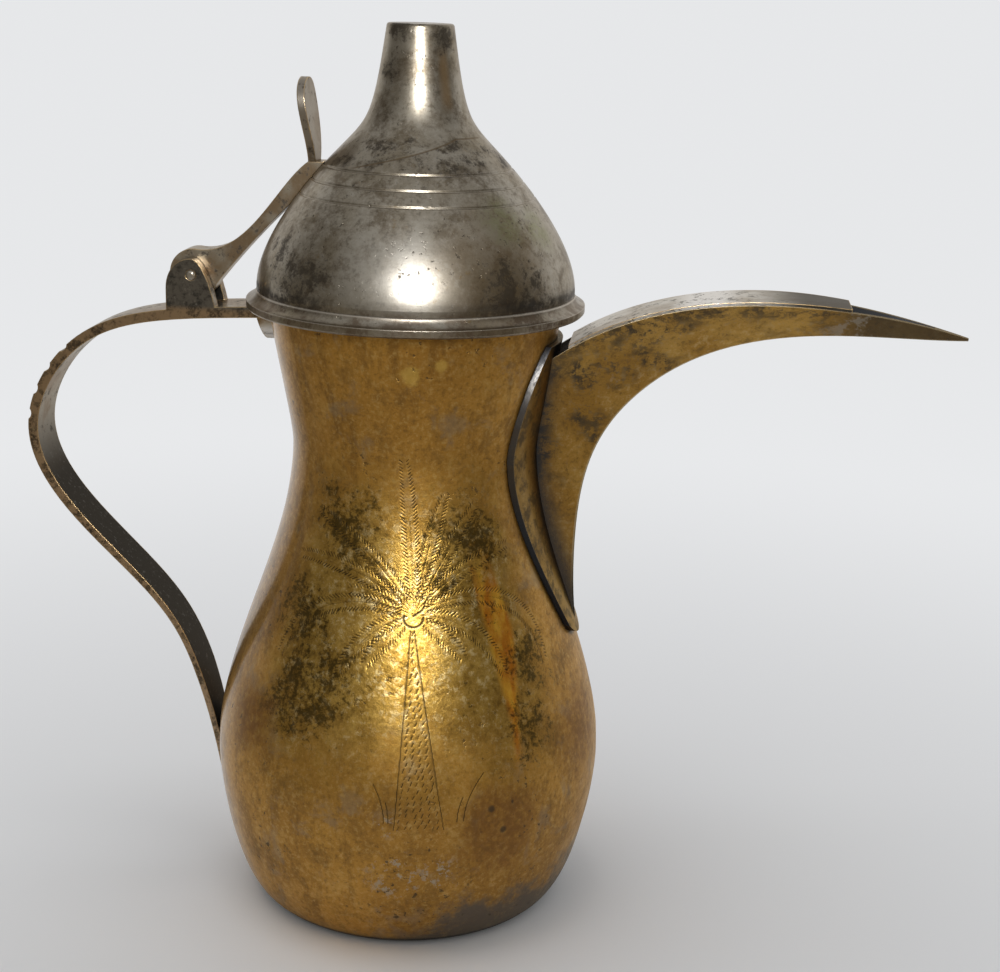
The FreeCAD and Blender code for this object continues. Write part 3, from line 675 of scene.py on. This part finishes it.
def lid_material():
    """Silver plate on the lid: warm grey, brown tarnish in fine mottling, dark blots and specks."""
    m = Metal("silver_plate")
    g = m.g
    tone = lid_tones
    clouds = g.noise(m.at, 24, 5, 0.6, 0.2)
    mottle = g.noise(m.at, 8, 9, 0.76, 0.15)
    speckle = g.noise(m.at, 2.2, 9, 0.8)
    grain = g.noise(m.at, 0.6, 3, 0.7)
    rag = g.noise(m.at, 9, 8, 0.74)
    turned = g.noise(g.scaled(m.at, 0.06, 0.06, 1.0), 0.8, 3, 0.65)
    bands = g.noise(g.scaled(m.at, 0.1, 0.1, 1.0), 9, 3, 0.6)
    plate = g.mix(g.rise(clouds, 0.36, 0.64), tone["silver"], tone["brown"])
    plate = g.layer(plate, g.rise(bands, 0.5, 0.68), 0.35, tone["band"])
    plate = g.layer(plate, g.rise(mottle, 0.46, 0.62), 0.7, tone["mottling"])
    plate = g.layer(plate, g.rise(speckle, 0.51, 0.62), 0.5, tone["fleck_light"])
    plate = g.layer(plate, g.rise(speckle, 0.48, 0.38), 0.55, tone["fleck_dark"])

    # Front of the bell brightened where the lamp's highlight falls, a painted highlight, and brown, green and yellow
    # stains
    painted_highlight_patch = g.blob(m.at, (5, -43, 187), 12, 10, rag)
    plate = g.layer(plate, painted_highlight_patch, 0.5, tone["painted_highlight_patch"])
    warm = g.blob(m.at, (27, -31, 190), 14, 9, rag)
    plate = g.layer(plate, warm, 0.5, tone["warm"])
    green = g.most(g.blob(m.at, (26, -23, 201), 6, 4, rag), g.blob(m.at, (34, -13, 198), 5, 4, rag))
    green = g.times(green, g.rise(speckle, 0.38, 0.56))
    plate = g.layer(plate, green, 0.6, tone["green"])
    # Brown stripe down the finial's right side: partly stain and partly painted reflection
    finial_stain_and_reflection = g.times(g.between(m.angle, 0.66, 0.90, 0.1), g.between(m.z, 0.229, 0.243, 0.003))
    plate = g.layer(plate, finial_stain_and_reflection, 0.7, tone["finial_stain_and_reflection"])
    yellow = g.times(g.rise(g.noise(m.at, 3.4, 5, 0.7), 0.60, 0.70), g.rise(clouds, 0.40, 0.56))
    plate = g.layer(plate, yellow, 0.5, tone["yellow"])

    # Dark blots: low on both sides, round the throat and at the top of the finial
    zones = g.times(g.between(m.z, 0.2125, 0.221, 0.003), 0.7)
    for centre, radius in (((-28, -33, 182), 9), ((-21, -37, 187), 5), ((35, -26, 182), 10), ((28, -32, 186), 7),
                           ((-4, -8, 248), 4), ((7, -6, 246), 4), ((-8, -8, 238), 4), ((-33, -25, 190), 6)):
        zones = g.most(zones, g.blob(m.at, centre, radius, 0.9 * radius, rag))
    clusters = g.plus(speckle, g.times(g.minus(mottle, 0.5), 1.1))
    blots = g.rise(clusters, g.blend(zones, 0.70, 0.35), g.blend(zones, 0.84, 0.54))
    field = g.most(g.rise(g.noise(m.at, 20, 3, 0.6), 0.42, 0.60), zones)
    specks = g.times(g.rise(g.noise(m.at, 1.4, 4, 0.68), 0.60, 0.67), field)
    dark = g.most(blots, specks)
    plate = g.layer(plate, dark, 0.85, tone["blot"])

    # Rim: browner than the bell, and in the fold above it tarnish with painted shade, mostly away from the front
    rim = g.times(g.rise(m.z, 0.1800, 0.1785), g.rise(clusters, 0.34, 0.62))
    plate = g.layer(plate, rim, 0.75, tone["rim"])
    # Painted shade and tarnish in the fold above the rim, weaker at the front
    side = g.most(g.rise(m.angle, 0.35, 0.75), g.rise(m.angle, -0.30, -0.55))
    crease_tarnish_and_shade = g.times(g.between(m.z, 0.1782, 0.1815, 0.0012), g.blend(side, 0.25, 1.0))
    crease_tarnish_and_shade = g.times(crease_tarnish_and_shade, g.rise(mottle, 0.34, 0.52))
    plate = g.layer(plate, crease_tarnish_and_shade, 0.85, tone["crease_tarnish_and_shade"])

    # Line that runs out of the turned grooves and climbs to the right
    climb = g.node("ShaderNodeMapRange", {"Value": m.angle, "From Min": -0.64, "From Max": 0.75,
                                          "To Min": 0.2129, "To Max": 0.2209}).outputs[0]
    scribed = g.rise(g.math("ABSOLUTE", g.minus(m.z, climb)), 0.0003, 0.0001)
    scribed = g.times(scribed, g.between(m.angle, -0.60, 1.3, 0.06))
    plate = g.layer(plate, scribed, 0.7, tone["scribed"])

    # Paler edges of the lid: a painted highlight along the rim, the turned grooves and other edges
    edge_wear_and_highlight = g.times(m.edges(0.6), 0.75)
    plate = g.mix(edge_wear_and_highlight, plate, tone["edge_wear_and_highlight"])
    # Dark tarnish and painted shade in the seams and hollows
    plate = g.layer(plate, m.crevice(1.4), 0.85, tone["seam_tarnish_and_shade"])
    rough = g.blend(g.rise(mottle, 0.35, 0.7), 0.31, 0.39)
    rough = g.most(rough, g.times(g.most(dark, crease_tarnish_and_shade), 0.55))
    height = g.plus(g.times(grain, 0.4), g.times(turned, 0.4))
    sunk = g.plus(g.times(specks, 1.2), g.times(scribed, 1.6))
    height = g.minus(height, sunk)
    return m.finish(plate, rough, height, bump_mm=0.025, bevel_mm=0.3, coat=0.15, tint=tone["glance"])


def fitting_material(name, silver, brown, black, blackness, side=None, low=None, ear=None, bright=None,
                     tip=None, solder=None):
    """Plate rubbed through to brass on the edges and tarnished in the flats. Side is the colour of faces across Y. In
    metres, low is the height at which the face towards the pot is black in mottles, ear the height above which
    the sides are grey, bright the lengths between which a near-white painted highlight lies, and tip the length at
    which it is dark. In millimetres, solder is the middle of a bead of solder, painted bright as its highlight."""
    m = Metal(name)
    g = m.g
    tone = fitting_tones
    clouds = g.noise(m.at, 14, 5, 0.6, 0.2)
    mottle = g.noise(m.at, 5, 8, 0.74, 0.2)
    speckle = g.noise(m.at, 1.8, 7, 0.78)
    grain = g.noise(m.at, 0.7, 3, 0.7)
    colour = g.mix(g.rise(clouds, 0.40, 0.60), silver, brown)
    colour = g.layer(colour, g.rise(speckle, 0.52, 0.68), 0.4, tone["fleck"])
    clusters = g.plus(speckle, g.times(g.minus(mottle, 0.5), 1.0))
    dark = g.times(g.rise(clusters, 0.64 - 0.25 * blackness, 0.76 - 0.2 * blackness), 0.9)
    normal = g.node("ShaderNodeNewGeometry").outputs["True Normal"]
    if low is not None:
        along = g.node("ShaderNodeSeparateXYZ", {0: normal}).outputs[0]
        reach = g.times(g.rise(m.z, low + 0.030, low), g.rise(along, -0.2, 0.2))
        dark = g.most(dark, g.times(reach, g.rise(mottle, 0.22, 0.36)))
    if tip is not None:
        dark = g.most(dark, g.times(g.rise(m.x, tip - 0.018, tip), 0.92))
    # Painted highlight: a near-white band on the cover where the lamp's highlight falls, broken by tarnish clusters
    if bright is not None:
        painted_highlight = g.times(g.between(m.x, bright[0], bright[1], 0.004), g.rise(clusters, 0.72, 0.56))
        colour = g.mix(painted_highlight, colour, tone["painted_highlight"])
    colour = g.mix(dark, colour, black)
    specks = g.rise(g.noise(m.at, 1.3, 4, 0.68), 0.58, 0.66)
    colour = g.mix(g.times(specks, g.times(dark, 0.35)), colour, tone["speck"])
    if side is not None:
        across = g.node("ShaderNodeSeparateXYZ", {0: normal}).outputs[1]
        facing = g.rise(g.math("ABSOLUTE", across), 0.6, 0.9)
        flank = g.layer(side, g.rise(clusters, 0.44, 0.62), 0.85, black)
        flank = g.layer(flank, g.rise(speckle, 0.52, 0.66), 0.5, tone["flank_fleck"])
        if ear is not None:
            grey = g.mix(g.rise(clusters, 0.40, 0.66), tone["ear_light"], tone["ear_dark"])
            grey = g.layer(grey, specks, 0.6, tone["ear_speck"])
            flank = g.mix(g.rise(m.z, ear - 0.001, ear + 0.001), flank, grey)
        colour = g.mix(facing, colour, flank)
    # Bead of solder, painted bright as its highlight
    if solder is not None:
        colour = g.layer(colour, g.blob(m.at, solder, 3.2, 1.2, mottle), 0.85, tone["solder"])
    edge_wear_and_highlight = g.times(m.edges(0.6), g.rise(mottle, 0.30, 0.50))
    colour = g.layer(colour, edge_wear_and_highlight, 0.9, tone["edge_wear_and_highlight"])
    # Dark tarnish and painted shade in the seams
    colour = g.layer(colour, m.crevice(2.2), 0.75, tone["seam_tarnish_and_shade"])
    rough = g.blend(dark, 0.30, 0.46)
    height = g.plus(g.times(grain, 0.5), g.times(mottle, 0.8))
    return m.finish(colour, rough, height, bump_mm=0.04, bevel_mm=0.45, coat=0.04, tint=tone["glance"])


def saddle_material():
    """Brass flange with a filed edge, silvery at the top and darkened below by painted shade, and dark solder with
    painted shade at the spout's root.
    """
    m = Metal("saddle_brass")
    g = m.g
    tone = saddle_tones
    clouds = g.noise(m.at, 16, 5, 0.6, 0.2)
    mottle = g.noise(m.at, 4, 8, 0.74, 0.2)
    speckle = g.noise(m.at, 1.8, 7, 0.78)
    grain = g.noise(m.at, 0.7, 3, 0.7)
    colour = g.mix(g.rise(clouds, 0.38, 0.62), tone["gold"], tone["brown"])
    colour = g.layer(colour, g.rise(speckle, 0.52, 0.68), 0.4, tone["fleck"])
    colour = g.layer(colour, g.rise(mottle, 0.46, 0.60), 0.8, tone["mottling"])
    normal = g.node("ShaderNodeNewGeometry").outputs["True Normal"]
    outward = g.node("ShaderNodeVectorMath", {0: g.scaled(m.at, 1, 1, 0)}, operation="NORMALIZE").outputs[0]
    facing = g.node("ShaderNodeVectorMath", {0: normal, 1: outward}, operation="DOT_PRODUCT").outputs["Value"]
    edge = g.rise(g.math("ABSOLUTE", facing), 0.75, 0.45)
    # Filed edge: bare metal at the top, painted shade below it, deepest low down
    filed = g.mix(g.rise(m.z, 0.150, 0.160), tone["filed_painted_shade"], tone["filed_light"])
    filed = g.layer(filed, g.rise(mottle, 0.42, 0.58), 0.8, tone["filed_mottling"])
    filed = g.mix(g.rise(m.z, 0.128, 0.112), filed, tone["filed_low_painted_shade"])
    colour = g.mix(edge, colour, filed)
    colour = g.layer(colour, m.edges(0.4), 0.6, tone["edge"])
    # Dark solder and tarnish with painted shade where the spout meets the flange
    colour = g.layer(colour, m.crevice(10.0, openness=0.95, closeness=0.74), 0.92, tone["root"])
    rough = g.blend(g.rise(mottle, 0.4, 0.65), 0.36, 0.50)
    height = g.plus(g.times(grain, 0.5), g.times(mottle, 0.6))
    return m.finish(colour, rough, height, bump_mm=0.04, bevel_mm=0.35, coat=0.12, tint=tone["glance"])


def dress(names, material):
    """Gives CAD nodes a material, and smooth shading."""
    for name in names:
        slots = nodes[name].data.materials
        slots.clear()
        slots.append(material)
        nodes[name].data.polygons.foreach_set("use_smooth", [True] * len(nodes[name].data.polygons))


# Stage: floor, world, lamps and camera. Colours are in linear light
backdrop = (0.86, 0.87, 0.885)
floor_side_m = 60.0
floor_pale, floor_mirrored = (0.82, 0.83, 0.845), (0.44, 0.39, 0.31)
floor_glow = 0.85
floor_behind, floor_before = (0.0, 0.15, 0.0), (0.0, -0.1, 0.0)
room_front, room_sides = (0.34, 0.33, 0.31), (0.22, 0.21, 0.195)
room_behind, room_above = (0.86, 0.87, 0.89), (0.52, 0.52, 0.52)


def add_floor():
    """Pale floor that keeps the shadow near the pot and fades into the backdrop away from it. Metal mirrors it
    darker in front and at the sides, and as pale as the backdrop behind."""
    side = floor_side_m
    mesh = bpy.data.meshes.new("floor")
    mesh.from_pydata([(-side, -side, 0), (side, -side, 0), (side, side, 0), (-side, side, 0)], [], [(0, 1, 2, 3)])
    floor = bpy.data.objects.new("floor", mesh)
    bpy.context.scene.collection.objects.link(floor)
    material = bpy.data.materials.new("pale_floor")
    material.use_nodes = True
    g = Graph(material.node_tree)
    at = g.node("ShaderNodeTexCoord").outputs["Object"]
    away = g.node("ShaderNodeVectorMath", {0: at, 1: floor_behind}, operation="DISTANCE").outputs["Value"]
    path = g.node("ShaderNodeLightPath")
    camera, glossy = path.outputs["Is Camera Ray"], path.outputs["Is Glossy Ray"]
    depth = g.node("ShaderNodeSeparateXYZ", {0: at}).outputs[1]
    dim = g.times(glossy, g.times(g.rise(depth, 0.32, 0.06), g.rise(away, 0.2, 0.42)))
    colour = g.mix(dim, floor_pale, floor_mirrored)
    matt = g.node("ShaderNodeBsdfDiffuse", {"Color": colour}).outputs[0]
    white = g.node("ShaderNodeEmission", {"Color": (*backdrop, 1.0), "Strength": 1.0}).outputs[0]
    round_pot = g.node("ShaderNodeVectorMath", {0: at, 1: floor_before}, operation="DISTANCE").outputs["Value"]
    seen = g.times(camera, g.rise(round_pot, 0.0, 0.65))
    mirrored = g.times(glossy, g.rise(depth, -0.1, 0.55))
    pale = g.times(g.most(seen, mirrored), floor_glow)
    shader = g.node("ShaderNodeMixShader", {0: pale, 1: matt, 2: white})
    g.node("ShaderNodeOutputMaterial", {"Surface": shader.outputs[0]})
    mesh.materials.append(material)


def add_world():
    """A room that is dim at the sides and pale behind; the camera itself sees the plain backdrop."""
    world = bpy.data.worlds.new("room")
    world.use_nodes = True
    bpy.context.scene.world = world
    g = Graph(world.node_tree)
    direction = g.node("ShaderNodeTexCoord").outputs["Generated"]
    parts = g.node("ShaderNodeSeparateXYZ", {0: direction})
    beside = g.rise(g.math("ABSOLUTE", parts.outputs[0]), 0.45, 0.85)
    room = g.mix(beside, room_front, room_sides)
    behind = g.rise(parts.outputs[1], 0.05, 0.65)
    room = g.mix(behind, room, room_behind)
    overhead = g.rise(parts.outputs[2], 0.45, 0.9)
    room = g.mix(overhead, room, room_above)
    camera_ray = g.node("ShaderNodeLightPath").outputs["Is Camera Ray"]
    seen = g.mix(camera_ray, room, backdrop)
    back = g.node("ShaderNodeBackground", {"Color": seen, "Strength": 1.0})
    g.node("ShaderNodeOutputWorld", {"Surface": back.outputs[0]})


def add_lamp(name, at_mm, target_mm, wide_mm, tall_mm, radiance, mirrored=True, lights_matt=True):
    """Soft panel of a given radiance, aimed at a point, that metal mirrors, matt surfaces take, or both."""
    lamp = bpy.data.lights.new(name, "AREA")
    lamp.shape = "RECTANGLE"
    lamp.size = wide_mm * MM
    lamp.size_y = tall_mm * MM
    lamp.energy = radiance * math.pi * lamp.size * lamp.size_y
    holder = bpy.data.objects.new(name, lamp)
    bpy.context.scene.collection.objects.link(holder)
    holder.location = Vector(at_mm) * MM
    aim = (Vector(target_mm) - Vector(at_mm)).normalized()
    holder.rotation_mode = "QUATERNION"
    holder.rotation_quaternion = aim.to_track_quat("-Z", "Y")
    holder.visible_glossy = mirrored
    holder.visible_diffuse = lights_matt


def add_camera():
    """Camera without shift, turned by azimuth, then pitched down, then rolled."""
    azimuth, pitch, roll = (math.radians(a) for a in (camera_azimuth, camera_pitch, camera_roll))
    right = Vector((math.cos(azimuth), math.sin(azimuth), 0))
    level = Vector((-math.sin(azimuth), math.cos(azimuth), 0))
    sky = Vector((0, 0, 1))
    forward = level * math.cos(pitch) - sky * math.sin(pitch)
    up = level * math.sin(pitch) + sky * math.cos(pitch)
    across = right * math.cos(roll) + up * math.sin(roll)
    upright = up * math.cos(roll) - right * math.sin(roll)
    data = bpy.data.cameras.new("camera")
    data.sensor_width = sensor_mm
    data.lens = focal_px / image_width_px * sensor_mm
    camera = bpy.data.objects.new("camera", data)
    bpy.context.scene.collection.objects.link(camera)
    turn = Matrix((across, upright, -forward)).transposed().to_4x4()
    camera.matrix_world = Matrix.Translation(Vector(camera_at) * MM) @ turn
    bpy.context.scene.camera = camera


add_camera()
add_floor()
add_world()
add_lamp("flash", at_mm=(80.0, -520.0, 410.0), target_mm=(0, 0, 140), wide_mm=120.0, tall_mm=185.0,
         radiance=39.0, lights_matt=False)
add_lamp("top", at_mm=(-150.0, -50.0, 900.0), target_mm=(0, 0, 100), wide_mm=450.0, tall_mm=450.0,
         radiance=2.6, mirrored=False)
bpy.context.scene.view_settings.view_transform = "Standard"

brass = brass_material()
body_piece(brass)
dress(["base_disc"], brass)
dress(["spout_cheek_near", "spout_cheek_far"], cheek_material())
dress(["lid_dome", "lid_rim", "lid_collar"], lid_material())
dress(["handle"], fitting_material(
    "tarnished_handle", silver=(0.40, 0.36, 0.30), brown=(0.27, 0.20, 0.14), black=(0.020, 0.018, 0.016),
    blackness=0.4, side=(0.40, 0.28, 0.17), low=0.118, ear=0.1712, solder=(-40, -5.5, 165)))
dress(["lid_arm"], fitting_material(
    "tarnished_arm", silver=(0.44, 0.40, 0.33), brown=(0.30, 0.22, 0.14), black=(0.06, 0.05, 0.04),
    blackness=0.4))
dress(["thumb_leaf"], fitting_material(
    "tarnished_leaf", silver=(0.31, 0.275, 0.23), brown=(0.23, 0.18, 0.13), black=(0.07, 0.055, 0.04),
    blackness=0.35))
dress(["hinge_pin"], fitting_material(
    "worn_pin", silver=(0.46, 0.44, 0.40), brown=(0.36, 0.33, 0.28), black=(0.12, 0.11, 0.10),
    blackness=0.2))
dress(["spout_saddle"], saddle_material())
dress(["spout_cover"], fitting_material(
    "worn_cover", silver=(0.70, 0.68, 0.63), brown=(0.46, 0.41, 0.34), black=(0.03, 0.026, 0.02),
    blackness=0.4, bright=(0.0735, 0.0875), tip=0.108))
